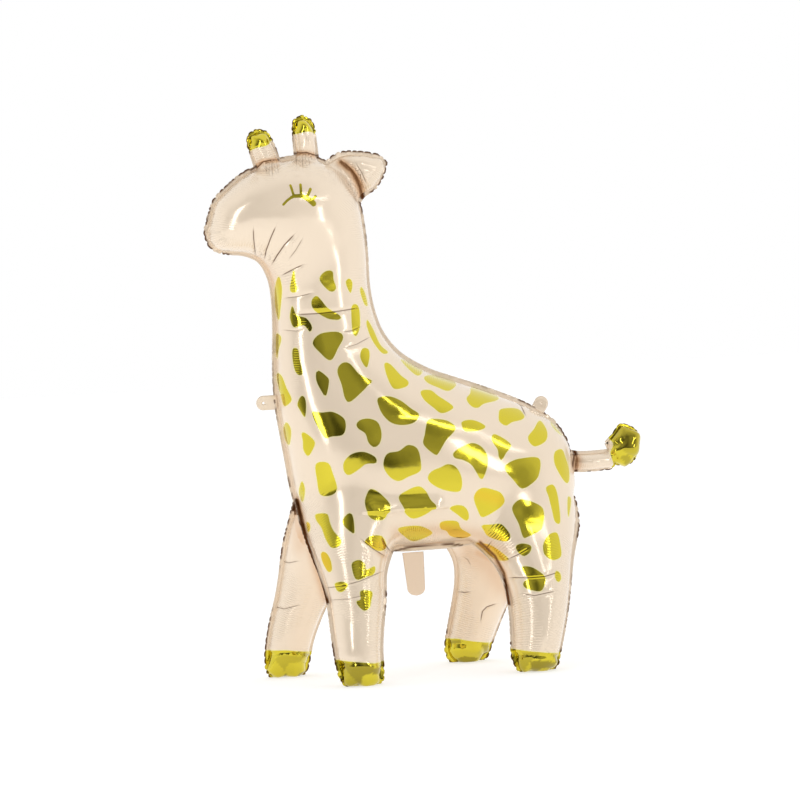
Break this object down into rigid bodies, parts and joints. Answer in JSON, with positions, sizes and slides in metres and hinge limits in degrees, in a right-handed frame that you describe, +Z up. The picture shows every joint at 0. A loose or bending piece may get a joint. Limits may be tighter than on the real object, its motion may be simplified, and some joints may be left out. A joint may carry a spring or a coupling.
{
  "type": "giraffe foil balloon",
  "caption": "Inflated foil balloon in the shape of a standing giraffe, with printed spots, hanging tabs and a filling valve.",
  "frame": {"origin": "on the floor, under the middle of the object's box, between the four feet", "axes": "+Z up, -X the way the giraffe looks, -Y its left side"},
  "size_m": [0.8164, 0.3748, 1.02],
  "materials": {
    "cream_foil": "glossy cream printed metallised film with a pearly sheen",
    "gold_foil": "mirror-bright greenish gold metallised film, printed with the cream",
    "valve_film": "satin pale peach plastic film"
  },
  "bodies": {
    "root": {"envelope": "cream_foil", "filling_valve": "valve_film"}
  },
  "joints": []
}
